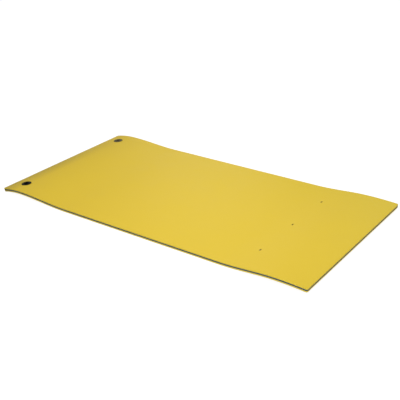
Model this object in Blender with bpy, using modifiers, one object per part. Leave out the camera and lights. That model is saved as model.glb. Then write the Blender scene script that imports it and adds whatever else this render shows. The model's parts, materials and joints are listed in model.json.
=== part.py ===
"""A floating foam water mat, in metres, +Z up.

Three foam sheets are laminated into one mat, with a plastic tether grommet near both corners of one
end and a row of slots across the other end. The mat lies on the ground as it does after it has been
stored rolled up: flat in the middle, with a low crest near each end. +X runs from the tether end to
the pillow end, and the origin is on the ground under the middle of the mat.
"""

import math
from collections import namedtuple

import bmesh
import bpy
from mathutils import Matrix, Vector

# The mat
MAT_LENGTH = 3.66
MAT_WIDTH = 1.83
CORNER_RADIUS = 0.015
TOP_SHEET = 0.0120
CORE_SHEET = 0.0133
BOTTOM_SHEET = 0.0121
GLUE_LINE = 0.0003
MAT_THICKNESS = BOTTOM_SHEET + GLUE_LINE + CORE_SHEET + GLUE_LINE + TOP_SHEET

# The wave at each end, measured on the underside from that end
EndWave = namedtuple("EndWave", "crest_at crest_height tip_height flat_from")
TETHER_WAVE = EndWave(crest_at=0.25, crest_height=0.031, tip_height=0.0, flat_from=0.90)
PILLOW_WAVE = EndWave(crest_at=0.30, crest_height=0.029, tip_height=0.0175, flat_from=0.88)
FACET_LENGTH = 0.036

# The tether grommets
GROMMET_FROM_END = 0.16
GROMMET_FROM_SIDE = 0.18
GROMMET_BORE = 0.051
BARREL_WALL = 0.005
FLANGE_DIAMETER = 0.106
FLANGE_THICKNESS = 0.004
FLANGE_SINK = 0.0025
RIM_RADIUS = 0.0015
LIP_RADIUS = 0.003
WASHER_THICKNESS = 0.0045
WASHER_SINK = 0.0015
WASHER_CHAMFER = 0.001
SHOULDER_THICKNESS = 0.0022
BARB_HEIGHT = 0.0012
FIT_GAP = 0.0003
SEAT_CLEARANCE = 0.0005

# The slots for the ties of the rolled pillow
SLOT_FROM_END = 0.655
SLOT_PITCH = 0.57
SLOT_LENGTH = 0.026
SLOT_WIDTH = 0.008
SLOT_CORNER_RADIUS = 0.0035

# How far a cutter runs past the material that it cuts
OVERRUN = 0.02

# Facets of the round shapes, and how close two points are to be one
ROUND_FACETS = 48
CORNER_FACETS = 6
RIM_FACETS = 3
LIP_FACETS = 8
ROUND_PROFILE_SHARE = 0.5
MERGE_DISTANCE = 0.0001

# Colours in linear light, and roughness
Finish = namedtuple("Finish", "colour roughness")
YELLOW_FOAM = Finish((0.780, 0.550, 0.040), 0.55)
SLATE_FOAM = Finish((0.040, 0.067, 0.098), 0.6)
BLACK_PLASTIC = Finish((0.012, 0.012, 0.012), 0.45)


def clear_scene():
    """Removes what the file opened with."""
    for obj in list(bpy.data.objects):
        bpy.data.objects.remove(obj, do_unlink=True)


def new_collection(name):
    collection = bpy.data.collections.new(name)
    bpy.context.scene.collection.children.link(collection)
    return collection


def new_material(name, finish):
    material = bpy.data.materials.new(name)
    material.use_nodes = True
    shader = material.node_tree.nodes["Principled BSDF"]
    shader.inputs["Base Color"].default_value = (*finish.colour, 1)
    shader.inputs["Roughness"].default_value = finish.roughness
    shader.inputs["Metallic"].default_value = 0
    material.diffuse_color = (*finish.colour, 1)
    return material


def new_object(name, mesh, collection):
    obj = bpy.data.objects.new(name, mesh)
    collection.objects.link(obj)
    return obj


def mesh_from(bm, name):
    mesh = bpy.data.meshes.new(name)
    bm.to_mesh(mesh)
    bm.free()
    return mesh


def rise(distance, wave):
    """Height of the underside at a distance from an end, and its slope away from that end."""
    if distance < wave.crest_at:
        short = 1 - distance / wave.crest_at
        drop = wave.crest_height - wave.tip_height
        return wave.crest_height - drop * short**2, 2 * drop * short / wave.crest_at
    span = wave.flat_from - wave.crest_at
    fall = min((distance - wave.crest_at) / span, 1)
    half = wave.crest_height / 2
    return half * (1 + math.cos(math.pi * fall)), -half * math.pi / span * math.sin(math.pi * fall)


def section_at(station):
    """The foot of the mat's cross-section at a distance from the tether end, and its upward normal."""
    tether_height, tether_slope = rise(station, TETHER_WAVE)
    pillow_height, pillow_slope = rise(MAT_LENGTH - station, PILLOW_WAVE)
    foot = Vector((station, 0, tether_height + pillow_height))
    return foot, Vector((pillow_slope - tether_slope, 0, 1)).normalized()


def stations():
    """Places of the cross-sections: even on both waves, and none on the flat middle."""
    places = []
    for start, reach in ((0, TETHER_WAVE.flat_from), (MAT_LENGTH, -PILLOW_WAVE.flat_from)):
        count = math.ceil(abs(reach) / FACET_LENGTH)
        places += [start + reach * step / count for step in range(count + 1)]
    return sorted(places)


SECTIONS = [(station, *section_at(station)) for station in stations()]


def centred_start():
    """World X of the tether end's lower edge, with the whole outline centred on the origin."""
    (_, first_foot, first_normal), (_, last_foot, last_normal) = SECTIONS[0], SECTIONS[-1]
    low = first_foot.x + min(first_normal.x * MAT_THICKNESS, 0)
    high = last_foot.x + max(last_normal.x * MAT_THICKNESS, 0)
    return -(low + high) / 2


START = Vector((centred_start(), 0, 0))


def on_mat(station, across, height):
    """World point at a distance from the tether end, across from the centre line, above the underside."""
    after = next(index for index, section in enumerate(SECTIONS) if index and station <= section[0])
    (low, low_foot, low_normal), (high, high_foot, high_normal) = SECTIONS[after - 1 : after + 1]
    share = (station - low) / (high - low)
    point = (low_foot + low_normal * height).lerp(high_foot + high_normal * height, share)
    return START + point + Vector((0, across, 0))


def block_mesh(name, size, radius):
    """A block from the origin plane up, with its four upright edges rounded."""
    bm = bmesh.new()
    bmesh.ops.create_cube(bm, size=1)
    bmesh.ops.scale(bm, vec=size, verts=bm.verts)
    bmesh.ops.translate(bm, vec=Vector((0, 0, size.z / 2)), verts=bm.verts)
    upright = [edge for edge in bm.edges if edge.verts[0].co.xy == edge.verts[1].co.xy]
    bmesh.ops.bevel(
        bm, geom=upright, offset=radius, segments=CORNER_FACETS,
        profile=ROUND_PROFILE_SHARE, affect="EDGES",
    )
    return mesh_from(bm, name)


def foam_sheet(name, base, thickness, material, cutters, parts):
    """One foam sheet of the laminate: a flat blank, creased at each station, laid on the wave and cut."""
    mesh = block_mesh(name, Vector((MAT_LENGTH, MAT_WIDTH, thickness)), CORNER_RADIUS)
    bm = bmesh.new()
    bm.from_mesh(mesh)
    bmesh.ops.translate(bm, vec=Vector((MAT_LENGTH / 2, 0, base)), verts=bm.verts)
    for station, _, _ in SECTIONS[1:-1]:
        bmesh.ops.bisect_plane(
            bm, geom=bm.verts[:] + bm.edges[:] + bm.faces[:],
            plane_co=(station, 0, 0), plane_no=(1, 0, 0),
        )
    for vert in bm.verts:
        station = min(max(vert.co.x, 0), MAT_LENGTH)
        vert.co = on_mat(station, vert.co.y, vert.co.z)
    bm.to_mesh(mesh)
    bm.free()
    mesh.materials.append(material)
    sheet = new_object(name, mesh, parts)
    for cutter in cutters:
        cut = sheet.modifiers.new("cut " + cutter.name, "BOOLEAN")
        cut.operation = "DIFFERENCE"
        cut.object = cutter
    return sheet


def frame_on_mat(name, station, across, collection):
    """An empty on the underside, with its Z square to the mat there."""
    foot = on_mat(station, across, 0)
    normal = (on_mat(station, across, MAT_THICKNESS) - foot).normalized()
    along = Vector((0, 1, 0)).cross(normal)
    turn = Matrix((along, (0, 1, 0), normal)).transposed()
    frame = bpy.data.objects.new(name, None)
    frame.empty_display_size = MAT_THICKNESS
    frame.matrix_world = Matrix.Translation(foot) @ turn.to_4x4()
    collection.objects.link(frame)
    return frame


def new_cutter(name, mesh, frame, lift, collection):
    cutter = new_object(name, mesh, collection)
    cutter.parent = frame
    cutter.location.z = lift
    cutter.hide_render = True
    cutter.display_type = "WIRE"
    return cutter


def disc_cutter(name, radius, low, high, frame, collection):
    """A round cutter between two heights above the mat's underside."""
    bm = bmesh.new()
    bmesh.ops.create_cone(
        bm, cap_ends=True, segments=ROUND_FACETS, radius1=radius, radius2=radius, depth=high - low
    )
    return new_cutter(name, mesh_from(bm, name), frame, (low + high) / 2, collection)


def slot_cutter(name, frame, collection):
    """A slot with its length across the mat, through all three sheets."""
    size = Vector((SLOT_WIDTH, SLOT_LENGTH, MAT_THICKNESS + 2 * OVERRUN))
    mesh = block_mesh(name, size, SLOT_CORNER_RADIUS)
    return new_cutter(name, mesh, frame, -OVERRUN, collection)


def arc(centre, radius, start_deg, end_deg, facets):
    """Points of an arc in the profile plane, as (radius from the axis, height)."""
    points = []
    for step in range(facets + 1):
        angle = math.radians(start_deg + (end_deg - start_deg) * step / facets)
        points.append((centre[0] + radius * math.cos(angle), centre[1] + radius * math.sin(angle)))
    return points


def turned(name, profile, material, frame, parts):
    """A turned piece: a closed profile swept round the frame's Z by a Screw modifier."""
    count = len(profile)
    mesh = bpy.data.meshes.new(name)
    edges = [(index, (index + 1) % count) for index in range(count)]
    mesh.from_pydata([(across, 0, height) for across, height in profile], edges, [])
    mesh.materials.append(material)
    piece = new_object(name, mesh, parts)
    piece.parent = frame
    screw = piece.modifiers.new("turn", "SCREW")
    screw.steps = ROUND_FACETS
    screw.render_steps = ROUND_FACETS
    screw.use_merge_vertices = True
    screw.merge_threshold = MERGE_DISTANCE
    screw.use_smooth_shade = True
    return piece


BORE_RADIUS = GROMMET_BORE / 2
BARREL_RADIUS = BORE_RADIUS + BARREL_WALL
BARB_RADIUS = BARREL_RADIUS + BARB_HEIGHT
FLANGE_RADIUS = FLANGE_DIAMETER / 2
TOP_SEAT = MAT_THICKNESS - FLANGE_SINK
BOTTOM_SEAT = WASHER_SINK
WASHER_TOP = BOTTOM_SEAT - FIT_GAP
WASHER_BASE = WASHER_TOP - WASHER_THICKNESS
SHOULDER = WASHER_TOP - SHOULDER_THICKNESS


def tether_eyelet(name, material, frame, parts):
    """The upper half of a grommet: flange, rolled lip, and a barrel that ends in a snap barb."""
    base = TOP_SEAT + FIT_GAP
    top = base + FLANGE_THICKNESS
    barb_top = SHOULDER - FIT_GAP
    profile = arc((BORE_RADIUS + LIP_RADIUS, top), LIP_RADIUS, 180, 0, LIP_FACETS)
    profile += arc((FLANGE_RADIUS - RIM_RADIUS, top - RIM_RADIUS), RIM_RADIUS, 90, 0, RIM_FACETS)
    profile += [
        (FLANGE_RADIUS, base),
        (BARREL_RADIUS, base),
        (BARREL_RADIUS, barb_top),
        (BARB_RADIUS, barb_top),
        (BARREL_RADIUS, WASHER_BASE),
        (BORE_RADIUS, WASHER_BASE),
    ]
    return turned(name, profile, material, frame, parts)


def tether_washer(name, material, frame, parts):
    """The lower half of a grommet: a ring with a shoulder that the barb snaps under."""
    sleeve = BARREL_RADIUS + FIT_GAP
    pocket = BARB_RADIUS + FIT_GAP
    profile = [
        (sleeve, WASHER_TOP),
        (FLANGE_RADIUS, WASHER_TOP),
        (FLANGE_RADIUS, WASHER_BASE + WASHER_CHAMFER),
        (FLANGE_RADIUS - WASHER_CHAMFER, WASHER_BASE),
        (pocket, WASHER_BASE),
        (pocket, SHOULDER),
        (sleeve, SHOULDER),
    ]
    return turned(name, profile, material, frame, parts)


def tether_grommet(side, across, material, parts, cutters):
    """Both halves of one grommet; returns what they cut from the top, the core and the bottom sheet."""
    frame = frame_on_mat("tether_frame_" + side, GROMMET_FROM_END, across, parts)
    tether_eyelet("tether_eyelet_" + side, material, frame, parts)
    tether_washer("tether_washer_" + side, material, frame, parts)
    seat = FLANGE_RADIUS + SEAT_CLEARANCE
    above = MAT_THICKNESS + OVERRUN
    hole = disc_cutter(
        "hole_" + side, BARREL_RADIUS + SEAT_CLEARANCE, -OVERRUN, above, frame, cutters
    )
    upper = disc_cutter("upper_seat_" + side, seat, TOP_SEAT, above, frame, cutters)
    lower = disc_cutter("lower_seat_" + side, seat, -OVERRUN, BOTTOM_SEAT, frame, cutters)
    return [hole, upper], [hole], [hole, lower]


def build():
    clear_scene()
    parts = new_collection("pool_float")
    cutters = new_collection("cutters")
    yellow = new_material("yellow foam", YELLOW_FOAM)
    slate = new_material("slate foam", SLATE_FOAM)
    plastic = new_material("black plastic", BLACK_PLASTIC)

    top_cuts, core_cuts, bottom_cuts = [], [], []
    across = MAT_WIDTH / 2 - GROMMET_FROM_SIDE
    for side, place in (("near", -across), ("far", across)):
        cuts = tether_grommet(side, place, plastic, parts, cutters)
        for kept, added in zip((top_cuts, core_cuts, bottom_cuts), cuts):
            kept.extend(added)
    for name, row in (("near", -1), ("middle", 0), ("far", 1)):
        station = MAT_LENGTH - SLOT_FROM_END
        frame = frame_on_mat("slot_frame_" + name, station, row * SLOT_PITCH, cutters)
        slot = slot_cutter("slot_" + name, frame, cutters)
        for kept in (top_cuts, core_cuts, bottom_cuts):
            kept.append(slot)

    core_base = BOTTOM_SHEET + GLUE_LINE
    top_base = core_base + CORE_SHEET + GLUE_LINE
    foam_sheet("foam_bottom_sheet", 0, BOTTOM_SHEET, yellow, bottom_cuts, parts)
    foam_sheet("foam_core_sheet", core_base, CORE_SHEET, slate, core_cuts, parts)
    foam_sheet("foam_top_sheet", top_base, TOP_SHEET, yellow, top_cuts, parts)


if __name__ == "__main__":
    build()
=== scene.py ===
"""Looks for a floating foam water mat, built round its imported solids.

Three foam sheets are laminated into one mat, with a moulded tether grommet near both corners of one
end and a row of tie slots across the other. Lengths are in metres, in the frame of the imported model:
+X runs from the tether end to the pillow end, +Y across the mat, and +Z up from the ground.
"""

import json
import logging
import math
from dataclasses import dataclass
from enum import Enum
from typing import Any, Mapping, Sequence, Union

import bmesh
import bpy
from bpy.types import ID, Material, Mesh, NodeSocket, NodeTree, Object
from mathutils import Matrix, Vector

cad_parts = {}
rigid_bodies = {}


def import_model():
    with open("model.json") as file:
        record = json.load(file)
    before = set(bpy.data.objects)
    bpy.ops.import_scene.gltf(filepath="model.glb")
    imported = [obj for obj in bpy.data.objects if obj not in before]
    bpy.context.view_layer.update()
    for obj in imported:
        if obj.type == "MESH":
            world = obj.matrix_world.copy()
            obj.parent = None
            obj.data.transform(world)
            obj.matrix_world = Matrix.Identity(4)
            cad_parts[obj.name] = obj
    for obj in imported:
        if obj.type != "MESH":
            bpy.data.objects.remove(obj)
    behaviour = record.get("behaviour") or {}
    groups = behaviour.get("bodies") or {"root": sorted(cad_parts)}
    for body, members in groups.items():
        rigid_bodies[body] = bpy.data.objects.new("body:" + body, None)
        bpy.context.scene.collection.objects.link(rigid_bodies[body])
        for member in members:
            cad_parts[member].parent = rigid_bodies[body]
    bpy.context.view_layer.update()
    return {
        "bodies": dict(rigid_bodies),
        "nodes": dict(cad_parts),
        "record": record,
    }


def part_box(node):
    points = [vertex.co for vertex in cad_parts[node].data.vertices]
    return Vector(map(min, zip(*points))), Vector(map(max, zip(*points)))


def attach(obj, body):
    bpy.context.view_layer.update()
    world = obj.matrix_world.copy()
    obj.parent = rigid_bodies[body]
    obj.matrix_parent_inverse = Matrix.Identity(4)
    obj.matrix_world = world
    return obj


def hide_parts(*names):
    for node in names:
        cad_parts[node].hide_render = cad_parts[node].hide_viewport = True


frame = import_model()
BODY = next(iter(frame["bodies"]))

Colour = tuple[float, float, float]
Place = tuple[float, float, float]
Stretch = tuple[float, float, float]
Section = list[tuple[float, float]]
Key = Union[int, str]
Amount = Union["Wire", float]
Tint = Union["Wire", Colour]
WHITE = (1.0, 1.0, 1.0, 1.0)
log = logging.getLogger("water_mat")

# Attributes of the foam's points that its finish reads
CUT_MARK = "cut_face"
SINGE_MARK = "singed_by_hot_knife"
# Share of painted shade at the tether end, darkest at the near corner
TETHER_END_SHADE_MARK = "soiled_by_hands"


@dataclass(frozen=True)
class Wire:
    """One output socket of a node tree. Arithmetic on it adds the Math nodes that it needs."""

    bench: "Bench"
    socket: NodeSocket

    def math(self, operation: str, *values: Amount) -> "Wire":
        """Adds one Math node, whose sockets take the values in order."""
        return self.bench.add("ShaderNodeMath", dict(enumerate(values)), operation=operation)

    def __add__(self, other: Amount) -> "Wire":
        """Sum."""
        return self.math("ADD", self, other)

    def __sub__(self, other: Amount) -> "Wire":
        """Difference."""
        return self.math("SUBTRACT", self, other)

    def __rsub__(self, other: float) -> "Wire":
        """Difference from a number on the left."""
        return self.math("SUBTRACT", other, self)

    def __mul__(self, other: Amount) -> "Wire":
        """Product."""
        return self.math("MULTIPLY", self, other)

    # A number on the left gives the same sum or product
    __radd__ = __add__
    __rmul__ = __mul__

    def __truediv__(self, other: Amount) -> "Wire":
        """Quotient."""
        return self.math("DIVIDE", self, other)

    def __pow__(self, power: float) -> "Wire":
        """Power."""
        return self.math("POWER", self, power)

    def __abs__(self) -> "Wire":
        """Distance from zero."""
        return self.math("ABSOLUTE", self)

    def least(self, other: Amount) -> "Wire":
        """The smaller of this and another."""
        return self.math("MINIMUM", self, other)

    def most(self, other: Amount) -> "Wire":
        """The larger of this and another."""
        return self.math("MAXIMUM", self, other)

    def share(self) -> "Wire":
        """This, held between 0 and 1."""
        return self.most(0.0).least(1.0)

    def output(self, key: Key) -> "Wire":
        """Another output of the same node."""
        return Wire(self.bench, find_socket(self.socket.node.outputs, key))


def find_socket(sockets: Sequence[NodeSocket], key: Key) -> NodeSocket:
    """Finds a socket by its place, its identifier or its name.

    Args:
        sockets: A node's inputs or outputs.
        key: The place, identifier or name.

    Returns:
        The socket.
    """
    if isinstance(key, int):
        return sockets[key]
    named = {socket.identifier: socket for socket in sockets}
    return named[key] if key in named else sockets[key]


class Bench:
    """A node tree on which nodes are set down and wired."""

    def __init__(self, tree: NodeTree) -> None:
        """Clears a tree and starts on it."""
        self.tree = tree
        tree.nodes.clear()

    def add(self, kind: str, sockets: Mapping[Key, Any], output: Key = 0, **settings: Any) -> Wire:
        """Adds one node.

        Args:
            kind: The node's type.
            sockets: Values or wires for its inputs, by place, identifier or name.
            output: Which output to hand back.
            settings: The node's properties, which are set first.

        Returns:
            The output, or the node's first input where it has no output.
        """
        node = self.tree.nodes.new(kind)
        for name, value in settings.items():
            setattr(node, name, value)
        for key, value in sockets.items():
            socket = find_socket(node.inputs, key)
            if isinstance(value, Wire):
                self.tree.links.new(value.socket, socket)
            else:
                socket.default_value = value
        return Wire(self, find_socket(node.outputs or node.inputs, output))

    def noise(self, vector: Wire, size: float, detail: float = 2.0, seed: float = 0.0) -> Wire:
        """Soft random values from 0 to 1, in blots of a size in metres, with finer layers on them."""
        sockets = {"Vector": vector, "W": seed, "Scale": 1.0 / size, "Detail": detail}
        return self.add("ShaderNodeTexNoise", sockets, noise_dimensions="4D")

    def cells(self, vector: Wire, size: float) -> Wire:
        """Distance to the middle of the nearest foam cell, as a share of a cell's width in metres."""
        sockets = {"Vector": vector, "Scale": 1.0 / size, "Randomness": 0.9}
        return self.add("ShaderNodeTexVoronoi", sockets, feature="F1")

    def stretched(self, vector: Wire, scale: Stretch) -> Wire:
        """The same place with each axis scaled, so that a pattern on it is stretched."""
        return self.add("ShaderNodeMapping", {"Vector": vector, "Scale": scale})

    def point(self, x: Amount, y: Amount, z: Amount) -> Wire:
        """The place with these three parts."""
        return self.add("ShaderNodeCombineXYZ", {"X": x, "Y": y, "Z": z})

    def mixed(self, factor: Amount, first: Tint, second: Tint) -> Wire:
        """Goes from one colour to another.

        Args:
            factor: 0 for the first, 1 for the second.
            first: A colour or a wire.
            second: A colour or a wire.

        Returns:
            The colour.
        """
        sockets = {"Factor_Float": factor}
        for key, end in (("A_Color", first), ("B_Color", second)):
            sockets[key] = end if isinstance(end, Wire) else (*end, 1.0)
        return self.add("ShaderNodeMix", sockets, "Result_Color", data_type="RGBA")

    def blended(self, factor: Wire, first: Wire, second: Amount) -> Wire:
        """Goes from one value to another, as the factor goes from 0 to 1."""
        return first + factor * (second - first)

    def end_material(self, colour: Wire, rough: Wire, height: Wire, specular: float) -> None:
        """Ends a material in one Principled surface.

        Args:
            colour: Its base colour.
            rough: Its roughness.
            height: Its relief, in metres.
            specular: How much it mirrors.
        """
        normal = self.add("ShaderNodeBump", {"Distance": 1.0, "Height": height})
        varying = {"Base Color": colour, "Roughness": rough, "Normal": normal}
        shader = self.add("ShaderNodeBsdfPrincipled", {**varying, "Specular IOR Level": specular})
        self.add("ShaderNodeOutputMaterial", {"Surface": shader})

    def end_geometry(self, geometry: Wire, finish: Wire) -> NodeTree:
        """Ends a geometry tree in real, smooth and dressed meshes.

        Args:
            geometry: What the tree has made.
            finish: The material.

        Returns:
            The tree.
        """
        smooth = self.add("GeometryNodeSetShadeSmooth", {"Geometry": geometry, "Shade Smooth": True})
        real = self.add("GeometryNodeRealizeInstances", {"Geometry": smooth})
        dressed = self.add("GeometryNodeSetMaterial", {"Geometry": real, "Material": finish})
        self.add("NodeGroupOutput", {"Geometry": dressed})
        return self.tree


def new_material(name: str) -> tuple[Material, Bench]:
    """Makes an empty node material.

    Args:
        name: Its name.

    Returns:
        The material and the bench for its nodes.
    """
    material = bpy.data.materials.new(name)
    material.use_nodes = True
    return material, Bench(material.node_tree)


def geometry_bench(name: str, inputs: Mapping[str, str]) -> tuple[Bench, Wire]:
    """Starts a geometry node tree with named inputs.

    Args:
        name: The tree's name.
        inputs: The kind of each input besides the geometry, by its name.

    Returns:
        The bench for its nodes and the geometry that goes in.
    """
    tree = bpy.data.node_groups.new(name, "GeometryNodeTree")
    for label, kind in {"Geometry": "Geometry", **inputs}.items():
        tree.interface.new_socket(label, in_out="INPUT", socket_type="NodeSocket" + kind)
    tree.interface.new_socket("Geometry", in_out="OUTPUT", socket_type="NodeSocketGeometry")
    bench = Bench(tree)
    return bench, bench.add("NodeGroupInput", {})


def new_object(name: str, data: ID) -> Object:
    """Puts a mesh, lamp or camera in the scene as an object at the origin.

    Args:
        name: The object's name.
        data: Its mesh, lamp or camera.

    Returns:
        The object.
    """
    made = bpy.data.objects.new(name, data)
    bpy.context.scene.collection.objects.link(made)
    return made


def heading(angle: float) -> Vector:
    """The level direction at an angle from +X, in radians."""
    return Vector((math.cos(angle), math.sin(angle), 0))


def mesh_from(bm: bmesh.types.BMesh, name: str) -> Mesh:
    """Turns a bmesh into a mesh and frees it.

    Args:
        bm: The bmesh.
        name: The mesh's name.

    Returns:
        The mesh.
    """
    mesh = bpy.data.meshes.new(name)
    bm.to_mesh(mesh)
    bm.free()
    return mesh


def bake(piece: Object) -> None:
    """Gives an object the mesh that its modifiers make, and drops the modifiers.

    Args:
        piece: The object.
    """
    depsgraph = bpy.context.evaluated_depsgraph_get()
    made = bpy.data.meshes.new_from_object(piece.evaluated_get(depsgraph), depsgraph=depsgraph)
    piece.modifiers.clear()
    piece.data = made


def bake_tree(piece: Object, tree: NodeTree, values: Mapping[str, Any]) -> None:
    """Runs a geometry node tree on an object and keeps the mesh that it makes.

    Args:
        piece: The object.
        tree: The tree.
        values: The tree's inputs, by name. They are set by identifier.
    """
    modifier = piece.modifiers.new(tree.name, "NODES")
    modifier.node_group = tree
    for item in tree.interface.items_tree:
        if item.in_out == "INPUT" and item.name in values:
            modifier[item.identifier] = values[item.name]
    bake(piece)


def seat_on(piece: Object, slot: str, *nodes: str) -> None:
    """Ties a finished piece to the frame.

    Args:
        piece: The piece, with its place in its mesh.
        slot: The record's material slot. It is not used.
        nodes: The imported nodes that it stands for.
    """
    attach(piece, BODY)
    if nodes:
        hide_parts(*nodes)
    log.info("%s: %d faces", piece.name, len(piece.data.polygons))


class Side(Enum):
    """The two long sides of the mat, as seen from the photographed view."""

    NEAR = -1
    FAR = 1

    @property
    def word(self) -> str:
        """The side's name in a piece's name."""
        return self.name.lower()


class Pressed(Enum):
    """Which face of a foam sheet the grommets press in."""

    UNDERSIDE = -1.0
    NEITHER = 0.0
    TOP = 1.0


@dataclass(frozen=True)
class FoamFinish:
    """Closed-cell foam: a smooth skin on its faces and open cells where it was cut.

    Colours are in linear light. The cut's deeper colour is painted shade in the hollows of its cells,
    and one more colour is painted shade at the tether end. cloud, speck, streak, emboss and cell are
    the sizes of its patterns, and the reliefs are their depths.
    """

    name: str
    skin: Colour
    skin_deep: Colour
    cut: Colour
    # Colour of the painted shade in the hollows of cut cells
    cut_hollow_shade: Colour
    singe: Colour = (0.300, 0.210, 0.036)
    # Colour of the painted shade at the tether end
    tether_shade: Colour = (0.36, 0.26, 0.006)
    skin_roughness: float = 0.41
    cut_roughness: float = 0.85
    specular: float = 0.22
    cloud: float = 0.22
    speck: float = 0.004
    streak: float = 0.012
    streak_pull: Stretch = (0.02, 1.0, 1.0)
    emboss: float = 0.0024
    cell: float = 0.0016
    skin_relief: float = 0.00011
    cut_relief: float = 0.00035
    seed: float = 0.0

    def material(self) -> Material:
        """Builds the material.

        Returns:
            A material that reads Object coordinates and the attributes of the foam's points.
        """
        material, bench = new_material(self.name)
        place = bench.add("ShaderNodeTexCoord", {}, "Object")
        cut, singed, tether_shade_share = (
            bench.add("ShaderNodeAttribute", {}, "Fac", attribute_name=mark)
            for mark in (CUT_MARK, SINGE_MARK, TETHER_END_SHADE_MARK)
        )
        clouds = bench.noise(place, self.cloud, 3.0, self.seed)
        specks = bench.noise(place, self.speck, 2.0, self.seed + 3.0)
        pulled = bench.stretched(place, self.streak_pull)
        drawn = bench.noise(pulled, self.streak, 3.0, self.seed + 5.0)
        cells = bench.cells(place, self.cell)
        emboss = bench.cells(place, self.emboss)

        tone = (0.55 * clouds + 0.2 * specks + 0.25 * drawn).share()
        skin = bench.mixed(tone, self.skin_deep, self.skin)
        # Open cells: painted shade darkens the hollow in the middle of each cell
        open_cells = bench.mixed((1.6 * cells).share(), self.cut_hollow_shade, self.cut)
        # Painted shade at the tether end, mottled by the clouds
        tether_shaded = (tether_shade_share * (0.4 + 0.3 * clouds)).share()
        browned = (singed * (0.7 + 0.5 * specks)).share()
        clean = bench.mixed(cut, skin, open_cells)
        colour = bench.mixed(browned, bench.mixed(tether_shaded, clean, self.tether_shade), self.singe)

        skin_height = self.skin_relief * (1.5 * emboss + 0.6 * cells + 0.8 * specks + 1.5 * drawn)
        cut_height = self.cut_relief * (cells + 0.4 * specks)
        height = bench.blended(cut, skin_height, cut_height)
        skin_rough = 0.12 * clouds + 0.06 * drawn + self.skin_roughness
        rough = bench.blended(cut, skin_rough, self.cut_roughness)
        bench.end_material(colour, rough, height, self.specular)
        return material


@dataclass(frozen=True)
class MouldedFinish:
    """Black moulded plastic with a fine eroded grain and paler scuffs in patches.

    patch, scratch and grain are the sizes of its patterns. Patches and scratches show where theirs
    pass a start, and in full the sooner, the higher the gain.
    """

    name: str
    body: Colour
    scuff: Colour
    roughness: float = 0.36
    specular: float = 0.05
    patch: float = 0.018
    patch_start: float = 0.56
    patch_gain: float = 5.0
    scratch: float = 0.0025
    scratch_start: float = 0.45
    scratch_gain: float = 4.0
    scratch_pull: Stretch = (1.0, 0.12, 1.0)
    grain: float = 0.0006
    grain_depth: float = 0.00003

    def material(self) -> Material:
        """Builds the material.

        Returns:
            A material that reads Object coordinates.
        """
        material, bench = new_material(self.name)
        place = bench.add("ShaderNodeTexCoord", {}, "Object")
        grain = bench.noise(place, self.grain, 2.0, 1.0)
        patches = bench.noise(place, self.patch, 3.0, 2.0)
        scratches = bench.noise(bench.stretched(place, self.scratch_pull), self.scratch, 2.0, 3.0)
        patchy = ((patches - self.patch_start) * self.patch_gain).share()
        worn = patchy * ((scratches - self.scratch_start) * self.scratch_gain).share()
        colour = bench.mixed(0.5 * worn, self.body, self.scuff)
        rough = 0.12 * patches + 0.1 * worn + self.roughness
        bench.end_material(colour, rough, self.grain_depth * grain, self.specular)
        return material


YELLOW_FOAM = FoamFinish(
    "yellow_foam",
    skin=(0.802, 0.565, 0.035),
    skin_deep=(0.766, 0.530, 0.030),
    cut=(0.800, 0.580, 0.060),
    cut_hollow_shade=(0.620, 0.420, 0.030),
    seed=60.0,
)
SLATE_FOAM = FoamFinish(
    "slate_foam",
    skin=(0.044, 0.075, 0.102),
    skin_deep=(0.036, 0.060, 0.084),
    cut=(0.047, 0.080, 0.108),
    cut_hollow_shade=(0.024, 0.040, 0.055),
    # Colour of the core's painted shade at the tether end
    tether_shade=(0.030, 0.034, 0.025),
    seed=40.0,
)
FRESH_PLASTIC = MouldedFinish(
    "moulded_black_plastic", body=(0.006, 0.006, 0.006), scuff=(0.055, 0.055, 0.056)
)
# The far grommet's black plastic with a painted reflection: its body and scuff colours are paler and
# browner than the near one's
PAINTED_REFLECTION_PLASTIC = MouldedFinish(
    "faded_black_plastic", body=(0.116, 0.102, 0.060), scuff=(0.185, 0.168, 0.115)
)


@dataclass(frozen=True)
class EndWave:
    """How the underside lifts near one end of the mat, by the distance from that end.

    It climbs from the tip's height to a crest and falls to the flat.
    """

    crest_at: float
    crest_height: float
    tip_height: float
    flat_from: float

    def rise(self, distance: Wire) -> tuple[Wire, Wire]:
        """Height of the underside and its slope away from the end.

        Args:
            distance: The distance from the end.

        Returns:
            The height and the slope.
        """
        drop = self.crest_height - self.tip_height
        span = self.flat_from - self.crest_at
        half = self.crest_height / 2
        short = (1.0 - distance / self.crest_at).most(0.0)
        turn = math.pi * ((distance - self.crest_at) / span).share()
        height = half * (1.0 + turn.math("COSINE", turn)) - drop * short * short
        slope = 2 * drop / self.crest_at * short - half * math.pi / span * turn.math("SINE", turn)
        return height, slope


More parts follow.
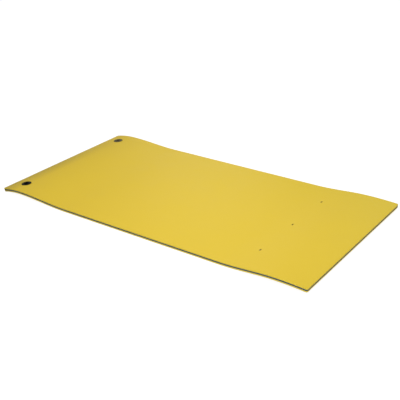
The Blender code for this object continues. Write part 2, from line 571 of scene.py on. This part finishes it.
@dataclass(frozen=True)
class Opening:
    """A hole through the mat: a rounded rectangle, framed by rings of faces.

    collar is half the side of the square of net cells that it takes the place of, in cells, and rings
    are how far its outline is grown for each ring, from the outermost in.
    """

    station: float
    across: float
    width: float
    length: float
    radius: float
    collar: int
    rings: tuple[float, ...]

    def outline(self, grown: float, count: int) -> list[Vector]:
        """Points of the outline, evenly spaced, counter-clockwise from the middle of its +X side.

        Args:
            grown: How far outside the hole's own edge the outline runs.
            count: How many points.

        Returns:
            The points on the flat mat.
        """
        radius = self.radius + grown
        straight_x = self.width / 2 + grown - radius
        straight_y = self.length / 2 + grown - radius
        quarter = math.pi / 2 * radius
        legs = [straight_y, quarter, 2 * straight_x, quarter, 2 * straight_y, quarter, 2 * straight_x]
        legs += [quarter, straight_y]
        signs = ((1, 0), (1, 1), (-1, 1), (-1, -1), (1, -1))
        centres = [Vector((x * straight_x, y * straight_y, 0)) for x, y in signs]
        total = sum(legs)
        points = []
        for step in range(count):
            left, leg = total * step / count, 0
            while left > legs[leg]:
                left -= legs[leg]
                leg += 1
            turned, curved = divmod(leg, 2)
            angle = math.pi / 2 * (turned + (left / quarter if curved else 0))
            point = centres[turned + curved] + radius * heading(angle)
            if not curved:
                point += left * heading(angle + math.pi / 2)
            points.append(point + Vector((self.station, self.across, 0)))
        return points


@dataclass(frozen=True)
class MatForm:
    """The mat's own sizes, its openings and the rule of its shape.

    A station is a distance from the tether end on the flat mat. cell is the width of the net's faces
    and the radius of the mat's corners, and support is the width of the faces that hold an arris in
    shape. lift, swell and wander are how far random patterns raise the mat, fill out its skin and
    move its edges. press_power is how fast a grommet's press dies away, and cut_gain is how soon a
    face that turns upright counts as cut.
    """

    length: float = 3.66
    width: float = 1.83
    thickness: float = 0.038
    cell: float = 0.015
    corner_facets: int = 8
    support: float = 0.002
    tether_wave: EndWave = EndWave(0.25, 0.031, 0.0, 0.90)
    pillow_wave: EndWave = EndWave(0.30, 0.029, 0.0175, 0.88)
    grommet_station: float = 0.16
    grommet_across: float = 0.735
    hole_radius: float = 0.031
    hole_collar: int = 6
    hole_rings: tuple[float, ...] = (0.048, 0.040, 0.034, 0.029, 0.025, 0.0225, 0.020, 0.011, 0.0)
    flange_radius: float = 0.053
    press_reach: float = 0.03
    press_power: float = 3.0
    slot_station: float = 3.005
    slot_pitch: float = 0.57
    slot_width: float = 0.008
    slot_length: float = 0.026
    slot_radius: float = 0.0035
    slot_collar: int = 2
    slot_rings: tuple[float, ...] = (0.009, 0.004, 0.0)
    lift: float = 0.0012
    lift_size: float = 0.45
    swell: float = 0.00035
    swell_size: float = 0.09
    wander: float = 0.0004
    wander_size: float = 0.07
    cut_gain: float = 1.35
    singe_reach: float = 0.006
    # How far the painted shade at the tether end reaches, and how it fades across the mat
    shade_reach: float = 0.2
    shade_fades_from: float = -0.1
    shade_fades_over: float = 0.9
    shade_fade: float = 0.8

    def openings(self) -> list[Opening]:
        """The grommet holes and the tie slots.

        Returns:
            Two round holes, then three slots.
        """
        bore = 2 * self.hole_radius
        hole = (bore, bore, self.hole_radius, self.hole_collar, self.hole_rings)
        slot = (self.slot_width, self.slot_length, self.slot_radius, self.slot_collar, self.slot_rings)
        across = self.grommet_across
        holes = [Opening(self.grommet_station, side.value * across, *hole) for side in Side]
        slots = [Opening(self.slot_station, row * self.slot_pitch, *slot) for row in (-1, 0, 1)]
        return holes + slots

    def _slot_gap(self, station: Wire, across: Wire) -> Wire:
        """Distance to the edge of the nearest tie slot.

        Args:
            station: The distance from the tether end.
            across: The distance from the centre line.

        Returns:
            The distance, which is zero or less inside the slot.
        """
        row = abs(across).least(abs(abs(across) - self.slot_pitch))
        straight_x = self.slot_width / 2 - self.slot_radius
        straight_y = self.slot_length / 2 - self.slot_radius
        past_x = (abs(station - self.slot_station) - straight_x).most(0.0)
        past_y = (row - straight_y).most(0.0)
        return (past_x * past_x + past_y * past_y) ** 0.5 - self.slot_radius

    def _shade_at_tether_end(self, station: Wire, across: Wire) -> Wire:
        """The share of painted shade at the tether end, most of all on the near side."""
        far = ((across - self.shade_fades_from) / self.shade_fades_over).share()
        return (1.0 - station / self.shade_reach).share() * (1.0 - self.shade_fade * far)

    def wave_tree(self, name: str) -> NodeTree:
        """Geometry nodes that lay a flat sheet on the mat's wave and mark its points for the finish.

        Args:
            name: The tree's name.

        Returns:
            The tree. Its inputs are what its sheet chooses.
        """
        sizes = ("Start", "Base", "Thickness", "Press Depth", "Skin Swell", "Edge Wander")
        kinds = {**dict.fromkeys((*sizes, "Pressed Face", "Seed"), "Float"), "Finish": "Material"}
        bench, given = geometry_bench(name, kinds)
        place = bench.add("GeometryNodeInputPosition", {})
        spot = bench.add("ShaderNodeSeparateXYZ", {"Vector": place}, "X")
        across, height = spot.output("Y"), spot.output("Z")
        facing = bench.add("GeometryNodeInputNormal", {})
        upright = bench.add("ShaderNodeSeparateXYZ", {"Vector": facing}, "Z")
        cut = (self.cut_gain * (1.0 - abs(upright))).share()
        singed = (1.0 - self._slot_gap(spot, across) / self.singe_reach).share()
        # Painted shade at the tether end
        tether_shade_share = self._shade_at_tether_end(spot, across)
        marked = given
        for mark, share in ((CUT_MARK, cut), (SINGE_MARK, singed), (TETHER_END_SHADE_MARK, tether_shade_share)):
            stored = {"Geometry": marked, "Name": mark, "Value": share}
            kind = "GeometryNodeStoreNamedAttribute"
            marked = bench.add(kind, stored, data_type="FLOAT", domain="POINT")

        flat = bench.point(spot, across, 0.0)
        layered = bench.point(spot, across, given.output("Seed"))
        wander = bench.noise(layered, self.wander_size) - 0.5
        edge_shift = given.output("Edge Wander") * 2.0 * wander * cut
        station = spot + edge_shift * upright.output("X")
        sideways = across + edge_shift * upright.output("Y")

        ahead, ahead_slope = self.tether_wave.rise(spot)
        behind, behind_slope = self.pillow_wave.rise(self.length - spot)
        lift = 2.0 * self.lift * (bench.noise(flat, self.lift_size, 1.0, 4.0) - 0.5).most(0.0)
        lean = behind_slope - ahead_slope
        size = (lean * lean + 1.0) ** 0.5

        level = ((height - given.output("Base")) / given.output("Thickness")).share()
        pressed = given.output("Pressed Face")
        from_above, from_below = pressed.most(0.0), (0.0 - pressed).most(0.0)
        outward = from_above * level - from_below * (1.0 - level)
        gap_x, gap_y = spot - self.grommet_station, abs(across) - self.grommet_across
        gap = (gap_x ** 2.0 + gap_y ** 2.0) ** 0.5
        fade = ((gap - self.flange_radius) / self.press_reach).share()
        press = given.output("Press Depth") * (1.0 - fade) ** self.press_power
        swelling = bench.noise(flat, self.swell_size, 2.0, 9.0) - 0.5
        swell = given.output("Skin Swell") * 2.0 * swelling * fade
        raised = height + outward * (swell - press)

        new_x = given.output("Start") + station + raised * lean / size
        new_z = ahead + behind + lift + raised / size
        laid = bench.point(new_x, sideways, new_z)
        moved = bench.add("GeometryNodeSetPosition", {"Geometry": marked, "Position": laid})
        return bench.end_geometry(moved, given.output("Finish"))


class Net:
    """The flat outline of the mat as an even net of faces, with its openings framed by rings.

    It lies at height zero and faces up, and its X runs from the tether end.
    """

    def __init__(self, form: MatForm) -> None:
        """Starts an empty net.

        Args:
            form: The mat's form.
        """
        self.form = form
        self.bm = bmesh.new()
        self.knots: dict[tuple[int, int], bmesh.types.BMVert] = {}

    def woven(self) -> bmesh.types.BMesh:
        """Makes every face.

        Returns:
            The net's bmesh.
        """
        form = self.form
        columns, rows = round(form.length / form.cell), round(form.width / form.cell)
        openings = form.openings()
        blocks = [self._block(opening) for opening in openings]
        corners = ((columns, rows), (0, rows), (0, 0), (columns, 0))
        left_out = {(min(column, columns - 1), min(row, rows - 1)) for column, row in corners}
        for low, high, left, right in blocks:
            left_out |= {(column, row) for column in range(low, high) for row in range(left, right)}
        for column in range(columns):
            for row in range(rows):
                spots = ((column, row), (column + 1, row), (column + 1, row + 1), (column, row + 1))
                if (column, row) not in left_out:
                    self.bm.faces.new([self._knot(*spot) for spot in spots])
        for turns, corner in enumerate(corners):
            self._round_corner(*corner, turns)
        for opening, block in zip(openings, blocks):
            self._frame_opening(opening, block)
        self.bm.normal_update()
        return self.bm

    def _knot(self, column: int, row: int) -> bmesh.types.BMVert:
        """The net's vertex at a column and a row.

        Args:
            column: The column, from the tether end.
            row: The row, from the near side.

        Returns:
            The vertex, which is made when it is first asked for.
        """
        if (column, row) not in self.knots:
            spot = (column * self.form.cell, row * self.form.cell - self.form.width / 2, 0)
            self.knots[column, row] = self.bm.verts.new(spot)
        return self.knots[column, row]

    def _block(self, opening: Opening) -> tuple[int, int, int, int]:
        """The block of cells that an opening's rings take the place of.

        Args:
            opening: The opening.

        Returns:
            The first column, the column past the last, the first row and the row past the last.
        """
        column = round(opening.station / self.form.cell)
        row = round((opening.across + self.form.width / 2) / self.form.cell)
        collar = opening.collar
        return column - collar, column + collar, row - collar, row + collar

    def _round_corner(self, column: int, row: int, turns: int) -> None:
        """Fills one corner with a fan, one cell in radius.

        Args:
            column: The corner's column.
            row: The corner's row.
            turns: How many quarter turns the corner is past the first, at +X and +Y.
        """
        inward_x = -1 if column else 1
        inward_y = -1 if row else 1
        hub = self._knot(column + inward_x, row + inward_y)
        on_x, on_y = self._knot(column, row + inward_y), self._knot(column + inward_x, row)
        facets = self.form.corner_facets
        angles = [math.pi / 2 * (turns + step / facets) for step in range(1, facets)]
        between = [self.bm.verts.new(hub.co + self.form.cell * heading(angle)) for angle in angles]
        rim = [on_y, *between, on_x] if turns % 2 else [on_x, *between, on_y]
        for start, end in zip(rim, rim[1:]):
            self.bm.faces.new((hub, start, end))

    def _frame_opening(self, opening: Opening, block: tuple[int, int, int, int]) -> None:
        """Joins the net to an opening's edge through its rings.

        Args:
            opening: The opening.
            block: Its columns and rows.
        """
        low, high, left, right = block
        side = 2 * opening.collar
        spots = [(high, left + step) for step in range(opening.collar, side)]
        spots += [(high - step, right) for step in range(side)]
        spots += [(low, right - step) for step in range(side)]
        spots += [(low + step, left) for step in range(side)]
        spots += [(high, left + step) for step in range(opening.collar)]
        edge = [self._knot(*spot) for spot in spots]
        count = 2 * len(edge)
        outlines = [opening.outline(grown, count) for grown in opening.rings]
        rings = [[self.bm.verts.new(point) for point in outline] for outline in outlines]
        for place, outer in enumerate(edge):
            after = edge[(place + 1) % len(edge)]
            first, middle = rings[0][2 * place], rings[0][2 * place + 1]
            last = rings[0][(2 * place + 2) % count]
            for face in ((outer, after, middle), (first, outer, middle), (after, last, middle)):
                self.bm.faces.new(face)
        for outer, inner in zip(rings, rings[1:]):
            for place in range(count):
                after = (place + 1) % count
                self.bm.faces.new((outer[place], outer[after], inner[after], inner[place]))


@dataclass(frozen=True)
class FoamSheet:
    """One foam sheet of the laminate.

    base is the height of its underside above the mat's. Edges that turn by more than sharp_angle, in
    radians, are softened to the radius of their arris.
    """

    name: str
    node: str
    slot: str
    finish: FoamFinish
    base: float
    thickness: float
    lower_arris: float
    upper_arris: float
    seed: float
    pressed: Pressed = Pressed.NEITHER
    press_depth: float = 0.0
    swell: float = 0.0
    sharp_angle: float = 1.0
    arris_facets: int = 3

    def blank(self, form: MatForm) -> Mesh:
        """The sheet as it is cut, flat, with its arrises softened.

        Args:
            form: The mat's form.

        Returns:
            A closed mesh whose X runs from the tether end.
        """
        bm = Net(form).woven()
        bmesh.ops.inset_region(
            bm, faces=bm.faces[:], thickness=form.support, use_boundary=True, use_even_offset=True
        )
        bmesh.ops.translate(bm, vec=Vector((0, 0, self.base + self.thickness)), verts=bm.verts[:])
        bmesh.ops.solidify(bm, geom=bm.faces[:], thickness=self.thickness)
        bmesh.ops.recalc_face_normals(bm, faces=bm.faces[:])
        whole = [edge for edge in bm.edges if edge.is_manifold]
        sharp = [edge for edge in whole if edge.calc_face_angle() > self.sharp_angle]
        middle = self.base + self.thickness / 2
        upper = [edge for edge in sharp if edge.verts[0].co.z > middle]
        lower = [edge for edge in sharp if edge.verts[0].co.z < middle]
        for edges, radius in ((upper, self.upper_arris), (lower, self.lower_arris)):
            bmesh.ops.bevel(
                bm, geom=edges, offset=radius, segments=self.arris_facets, profile=0.5, affect="EDGES"
            )
        return mesh_from(bm, self.name)

    def build(self, form: MatForm, start: float) -> None:
        """Makes the sheet, lays it on the wave and dresses it.

        Args:
            form: The mat's form.
            start: World X of the tether end's lower edge.
        """
        piece = new_object(self.name, self.blank(form))
        values = {
            "Start": start,
            "Base": self.base,
            "Thickness": self.thickness,
            "Pressed Face": self.pressed.value,
            "Press Depth": self.press_depth,
            "Skin Swell": self.swell,
            "Edge Wander": form.wander,
            "Seed": self.seed,
            "Finish": self.finish.material(),
        }
        bake_tree(piece, form.wave_tree("lay_" + self.name), values)
        seat_on(piece, self.slot, self.node)


@dataclass(frozen=True)
class TetherGrommet:
    """A two-part moulded grommet. Heights are from the flat of the flange, along its axis.

    clamped is the foam between its halves. lip_end is the angle, in degrees, at which the rolled lip
    meets its fillet. The washer's underside has two beads and between them a recess, which ribs cross.
    """

    side: Side
    bore_radius: float = 0.0255
    barrel_wall: float = 0.005
    flange_radius: float = 0.053
    flange_thickness: float = 0.004
    flange_ease: float = 0.0004
    rim_radius: float = 0.0016
    lip_radius: float = 0.003
    lip_fillet: float = 0.0012
    lip_end: float = 35.0
    groove_at: float = 0.0475
    groove_radius: float = 0.0007
    barb: float = 0.0012
    barb_ease: float = 0.0005
    fit_gap: float = 0.0003
    clamped: float = 0.0346
    washer_radius: float = 0.053
    washer_thickness: float = 0.0045
    washer_round: float = 0.0012
    shoulder: float = 0.0022
    recess: float = 0.0012
    outer_bead: float = 0.0045
    inner_bead: float = 0.003
    bead_slope: float = 0.001
    rib_count: int = 24
    rib_radius: float = 0.0009
    rib_sides: int = 12
    lip_facets: int = 10
    fillet_facets: int = 4
    edge_facets: int = 8
    washer_facets: int = 6
    facets: int = 144
    weld: float = 0.00005
    sharp_angle: float = 40.0

    @property
    def pocket_radius(self) -> float:
        """Radius of the washer's inside, below its shoulder."""
        return self.bore_radius + self.barrel_wall + self.fit_gap + self.barb

    @property
    def foot(self) -> float:
        """Height of the grommet's underside."""
        return -self.flange_thickness - self.clamped - self.washer_thickness

    def frame_matrix(self) -> Matrix:
        """The grommet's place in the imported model.

        Returns:
            Where the flange's flat crosses the axis, with Z along the axis.
        """
        name = "tether_face_" + self.side.word
        mount = next(mount for mount in frame["record"]["mounts"] if mount["name"] == name)
        axis = Vector(mount["axis"]).normalized()
        node = frame["nodes"]["tether_eyelet_" + self.side.word]
        total = sum((vert.co for vert in node.data.vertices), Vector())
        middle = total / len(node.data.vertices)
        top = middle + axis * (Vector(mount["pos_m"]) - middle).dot(axis)
        along = Vector((0, 1, 0)).cross(axis).normalized()
        turn = Matrix((along, axis.cross(along), axis)).transposed()
        return Matrix.Translation(top) @ turn.to_4x4()

    @staticmethod
    def _arc(
        centre: tuple[float, float], radius: float, start: float, end: float, facets: int
    ) -> Section:
        """Points of an arc in the profile, as distance from the axis and height.

        Args:
            centre: The arc's centre.
            radius: Its radius.
            start: Its first angle, in degrees.
            end: Its last angle, in degrees.
            facets: How many straight steps it has.

        Returns:
            The points.
        """
        angles = [math.radians(start + (end - start) * step / facets) for step in range(facets + 1)]
        return [
            (centre[0] + radius * math.cos(angle), centre[1] + radius * math.sin(angle))
            for angle in angles
        ]

    def _eyelet_profile(self) -> Section:
        """The upper half's section: rolled lip, grooved flange, barrel and barb.

        Returns:
            Its points, from the bore's top down the outer side.
        """
        bore, rim, foot = self.bore_radius, self.flange_radius - self.rim_radius, self.foot
        barrel = bore + self.barrel_wall
        base = -self.flange_thickness
        ledge = foot + self.shoulder - self.fit_gap
        lip_centre = bore + self.lip_radius
        fillet_centre = lip_centre + self.lip_radius + self.lip_fillet
        fillet_start = 180 + self.lip_end
        fillet, edge = self.lip_fillet, self.edge_facets
        profile = self._arc((lip_centre, 0), self.lip_radius, 180, self.lip_end, self.lip_facets)
        profile += self._arc((fillet_centre, fillet), fillet, fillet_start, 270, self.fillet_facets)
        profile += self._arc((self.groove_at, 0), self.groove_radius, 180, 360, edge)
        profile += self._arc((rim, -self.rim_radius), self.rim_radius, 90, 0, edge)
        profile += [
            (self.flange_radius, base + self.flange_ease),
            (self.flange_radius - self.flange_ease, base),
            (barrel, base),
            (barrel, ledge),
            (barrel + self.barb, ledge),
            (barrel, foot),
            (bore + self.barb_ease, foot),
            (bore, foot + self.barb_ease),
        ]
        return profile

    def _washer_profile(self) -> Section:
        """The lower half's section: a ring with a shoulder inside and a recess underneath.

        Returns:
            Its points, from the sleeve's top down the outer side.
        """
        sleeve, pocket, outer = self.pocket_radius - self.barb, self.pocket_radius, self.washer_radius
        foot, top = self.foot, self.foot + self.washer_thickness
        ledge, ceiling = foot + self.shoulder, foot + self.recess
        outer_foot, inner_foot = outer - self.outer_bead, pocket + self.inner_bead
        rounding = self.washer_round
        profile = [(sleeve, top), (outer, top)]
        corner = (outer - rounding, foot + rounding)
        profile += self._arc(corner, rounding, 0, -90, self.washer_facets)
        profile += [
            (outer_foot, foot),
            (outer_foot - self.bead_slope, ceiling),
            (inner_foot + self.bead_slope, ceiling),
            (inner_foot, foot),
            (pocket, foot),
            (pocket, ledge),
            (sleeve, ledge),
        ]
        return profile

    def _turned(self, name: str, profile: Section) -> Object:
        """Turns a closed profile round the axis and puts it in its place.

        Args:
            name: The piece's name.
            profile: Distance from the axis and height of each point, down the outer side.

        Returns:
            The piece, with its place in its mesh.
        """
        mesh = bpy.data.meshes.new(name)
        count = len(profile)
        points = [(across, 0, height) for across, height in profile]
        mesh.from_pydata(points, [(index, (index + 1) % count) for index in range(count)], [])
        piece = new_object(name, mesh)
        screw = piece.modifiers.new("turn", "SCREW")
        screw.steps = screw.render_steps = self.facets
        screw.use_merge_vertices = True
        screw.merge_threshold = self.weld
        bake(piece)
        piece.data.shade_smooth()
        piece.data.set_sharp_from_angle(angle=math.radians(self.sharp_angle))
        piece.data.transform(self.frame_matrix())
        return piece

    def _rib_tree(self) -> NodeTree:
        """Geometry nodes that set rounded ribs on the washer's face, like spokes.

        Returns:
            The tree. Its inputs are the ribs' count, sizes and finish.
        """
        kinds = {
            "Count": "Int", "Inner Radius": "Float", "Outer Radius": "Float",
            "Rib Radius": "Float", "Height": "Float", "Finish": "Material",
        }
        bench, given = geometry_bench("washer_ribs", kinds)
        ends = [
            bench.point(given.output(key), 0.0, given.output("Height"))
            for key in ("Inner Radius", "Outer Radius")
        ]
        line = bench.add("GeometryNodeCurvePrimitiveLine", {"Start": ends[0], "End": ends[1]})
        roundness = {"Resolution": self.rib_sides, "Radius": given.output("Rib Radius")}
        section = bench.add("GeometryNodeCurvePrimitiveCircle", roundness)
        swept = {"Curve": line, "Profile Curve": section, "Fill Caps": True}
        bar = bench.add("GeometryNodeCurveToMesh", swept)
        hub = bench.add("GeometryNodePoints", {"Count": given.output("Count")})
        index = bench.add("GeometryNodeInputIndex", {})
        angle = index * (2 * math.pi) / given.output("Count")
        turned = {"Axis": (0.0, 0.0, 1.0), "Angle": angle}
        turn = bench.add("FunctionNodeAxisAngleToRotation", turned)
        spokes = {"Points": hub, "Instance": bar, "Rotation": turn}
        ribs = bench.add("GeometryNodeInstanceOnPoints", spokes)
        return bench.end_geometry(ribs, given.output("Finish"))

    def _ribs(self, finish: Material) -> Object:
        """The ribs that stiffen the washer's underside.

        Args:
            finish: The plastic's material.

        Returns:
            The piece, with its place in its mesh. Each rib ends halfway up the beads' slopes.
        """
        name = "washer_ribs_" + self.side.word
        piece = new_object(name, bpy.data.meshes.new(name))
        values = {
            "Count": self.rib_count,
            "Inner Radius": self.pocket_radius + self.inner_bead + self.bead_slope / 2,
            "Outer Radius": self.washer_radius - self.outer_bead - self.bead_slope / 2,
            "Rib Radius": self.rib_radius,
            "Height": self.foot + self.recess,
            "Finish": finish,
        }
        bake_tree(piece, self._rib_tree(), values)
        piece.data.transform(self.frame_matrix())
        return piece

    def build(self, finish: Material) -> None:
        """Makes both halves and the ribs, and seats them.

        Args:
            finish: The plastic's material.
        """
        profiles = {"eyelet_": self._eyelet_profile(), "washer_": self._washer_profile()}
        for half, profile in profiles.items():
            piece = self._turned("grommet_" + half + self.side.word, profile)
            piece.data.materials.append(finish)
            seat_on(piece, "black_plastic", "tether_" + half + self.side.word)
        seat_on(self._ribs(finish), "black_plastic")


@dataclass(frozen=True)
class WaterMat:
    """The whole mat: its sheets and its grommets."""

    form: MatForm = MatForm()
    bottom_sheet: float = 0.0121
    core_sheet: float = 0.0133
    glue_line: float = 0.0003
    outer_arris: float = 0.0014
    inner_arris: float = 0.0005
    flange_press: float = 0.0024
    washer_press: float = 0.0014

    def start(self) -> float:
        """World X of the tether end's lower edge, from the bottom sheet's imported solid.

        Returns:
            The solid's lowest X, plus how far its upper edge leans past its lower edge there.
        """
        wave = self.form.tether_wave
        slope = 2 * (wave.crest_height - wave.tip_height) / wave.crest_at
        low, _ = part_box("foam_bottom_sheet")
        return low.x + self.bottom_sheet * slope / math.hypot(slope, 1.0)

    def sheets(self) -> list[FoamSheet]:
        """The three sheets, each reaching to the middle of its glue line.

        Returns:
            The sheets, from the bottom up.
        """
        half = self.glue_line / 2
        core_base = self.bottom_sheet + half
        top_base = core_base + self.core_sheet + self.glue_line
        outer, inner = self.outer_arris, self.inner_arris
        bottom = FoamSheet(
            "bottom_foam", "foam_bottom_sheet", "yellow_foam", YELLOW_FOAM,
            base=0.0, thickness=self.bottom_sheet + half, lower_arris=outer, upper_arris=inner,
            seed=1.0, pressed=Pressed.UNDERSIDE, press_depth=self.washer_press,
        )
        core = FoamSheet(
            "core_foam", "foam_core_sheet", "slate_foam", SLATE_FOAM,
            base=core_base, thickness=self.core_sheet + self.glue_line, lower_arris=inner,
            upper_arris=inner, seed=2.0,
        )
        top = FoamSheet(
            "top_foam", "foam_top_sheet", "yellow_foam", YELLOW_FOAM,
            base=top_base, thickness=self.form.thickness - top_base, lower_arris=inner,
            upper_arris=outer, seed=3.0, pressed=Pressed.TOP, press_depth=self.flange_press,
            swell=self.form.swell,
        )
        return [bottom, core, top]

    def build(self) -> None:
        """Makes every piece of the mat."""
        start = self.start()
        for sheet in self.sheets():
            sheet.build(self.form, start)
        # The far grommet takes the plastic with the painted reflection
        for side, finish in ((Side.NEAR, FRESH_PLASTIC), (Side.FAR, PAINTED_REFLECTION_PLASTIC)):
            TetherGrommet(side).build(finish.material())


@dataclass(frozen=True)
class Lamp:
    """A square soft box: where it hangs, what it points at, its side, its power and its colour."""

    name: str
    place: Place
    aim: Place
    size: float
    watts: float
    tint: Colour

    def build(self) -> None:
        """Hangs the lamp."""
        data = bpy.data.lights.new(self.name, "AREA")
        data.shape = "SQUARE"
        data.size = self.size
        data.energy = self.watts
        data.color = self.tint
        lamp = new_object(self.name, data)
        lamp.location = self.place
        ahead = Vector(self.aim) - Vector(self.place)
        lamp.rotation_euler = ahead.to_track_quat("-Z", "Y").to_euler()


@dataclass(frozen=True)
class Studio:
    """White floor, soft light and the camera at the photograph's view.

    The floor glows and takes shade where the camera sees it, and bounces light elsewhere. Angles are
    in degrees: yaw from +Y towards +X, pitch downwards, roll to the left.
    """

    floor_half: float = 40.0
    floor_drop: float = 0.0003
    floor_glow: float = 0.93
    floor_shade: float = 0.2
    floor_bounce: float = 0.8
    surround: float = 0.45
    camera_place: Place = (4.2331, -5.4762, 3.3428)
    yaw: float = -37.064
    pitch: float = 25.818
    roll: float = -2.062
    focal_px: float = 749.24
    picture_px: float = 400.0
    view_reach: float = 200.0
    lamps: tuple[Lamp, ...] = (
        Lamp("overhead", (0.65, -0.75, 4.1), (0.35, -0.1, 0.0), 2.6, 90.0, (1.0, 1.0, 0.97)),
        Lamp("front", (1.8, -5.6, 0.9), (0.4, -0.9, 0.0), 2.0, 78.0, (0.86, 1.0, 0.98)),
        Lamp("end", (6.6, -0.8, 0.9), (1.8, 0.0, 0.0), 2.0, 50.0, (0.9, 1.0, 0.98)),
        Lamp("far left", (-3.2, 4.6, 2.0), (-0.6, 0.5, 0.0), 2.4, 31.0, (1.0, 0.88, 0.62)),
        Lamp("far side", (0.8, 4.4, 2.2), (0.4, 0.4, 0.0), 2.4, 15.0, (0.35, 1.0, 0.75)),
    )

    def build_floor(self) -> None:
        """A white floor that reads as the background and keeps the mat's soft shadow."""
        bm = bmesh.new()
        bmesh.ops.create_grid(bm, x_segments=1, y_segments=1, size=self.floor_half)
        bmesh.ops.translate(bm, vec=Vector((0, 0, -self.floor_drop)), verts=bm.verts[:])
        floor = new_object("floor", mesh_from(bm, "floor"))
        material, bench = new_material("white_floor")
        path = bench.add("ShaderNodeLightPath", {}, "Is Camera Ray")
        seen = path.most(path.output("Is Glossy Ray")).most(path.output("Is Transmission Ray"))
        shaded, bounce = (
            bench.add("ShaderNodeBsdfDiffuse", {"Color": (level, level, level, 1.0)})
            for level in (self.floor_shade, self.floor_bounce)
        )
        glow = bench.add("ShaderNodeEmission", {"Color": WHITE, "Strength": self.floor_glow})
        backdrop = bench.add("ShaderNodeAddShader", {0: shaded, 1: glow})
        front = bench.add("ShaderNodeMixShader", {0: seen, 1: bounce, 2: backdrop})
        behind = bench.add("ShaderNodeNewGeometry", {}, "Backfacing")
        clear = bench.add("ShaderNodeBsdfTransparent", {})
        surface = bench.add("ShaderNodeMixShader", {0: behind, 1: front, 2: clear})
        bench.add("ShaderNodeOutputMaterial", {"Surface": surface})
        floor.data.materials.append(material)

    def build_world(self) -> None:
        """An even white surround, at full white where the camera sees it."""
        world = bpy.data.worlds.new("surround")
        world.use_nodes = True
        bpy.context.scene.world = world
        bench = Bench(world.node_tree)
        path = bench.add("ShaderNodeLightPath", {}, "Is Camera Ray")
        seen = path.most(path.output("Is Transmission Ray"))
        strength = self.surround + seen * (1.0 - self.surround)
        light = bench.add("ShaderNodeBackground", {"Color": WHITE, "Strength": strength})
        bench.add("ShaderNodeOutputWorld", {"Surface": light})

    def build_camera(self) -> None:
        """The camera, from the view fitted to the photographed outline."""
        yaw, pitch, roll = (math.radians(angle) for angle in (self.yaw, self.pitch, self.roll))
        turn = (
            Matrix.Rotation(-yaw, 4, "Z")
            @ Matrix.Rotation(math.pi / 2 - pitch, 4, "X")
            @ Matrix.Rotation(roll, 4, "Z")
        )
        data = bpy.data.cameras.new("photo_view")
        data.lens = self.focal_px / self.picture_px * data.sensor_width
        data.clip_end = self.view_reach
        camera = new_object("photo_view", data)
        camera.matrix_world = Matrix.Translation(self.camera_place) @ turn
        bpy.context.scene.camera = camera

    def build(self) -> None:
        """Sets the stage."""
        self.build_floor()
        self.build_world()
        for lamp in self.lamps:
            lamp.build()
        self.build_camera()
        bpy.context.scene.view_settings.view_transform = "Standard"


def main() -> None:
    """Builds the mat and its stage."""
    logging.basicConfig(level=logging.INFO, format="%(name)s %(message)s")
    WaterMat().build()
    Studio().build()


if __name__ == "__main__":
    main()
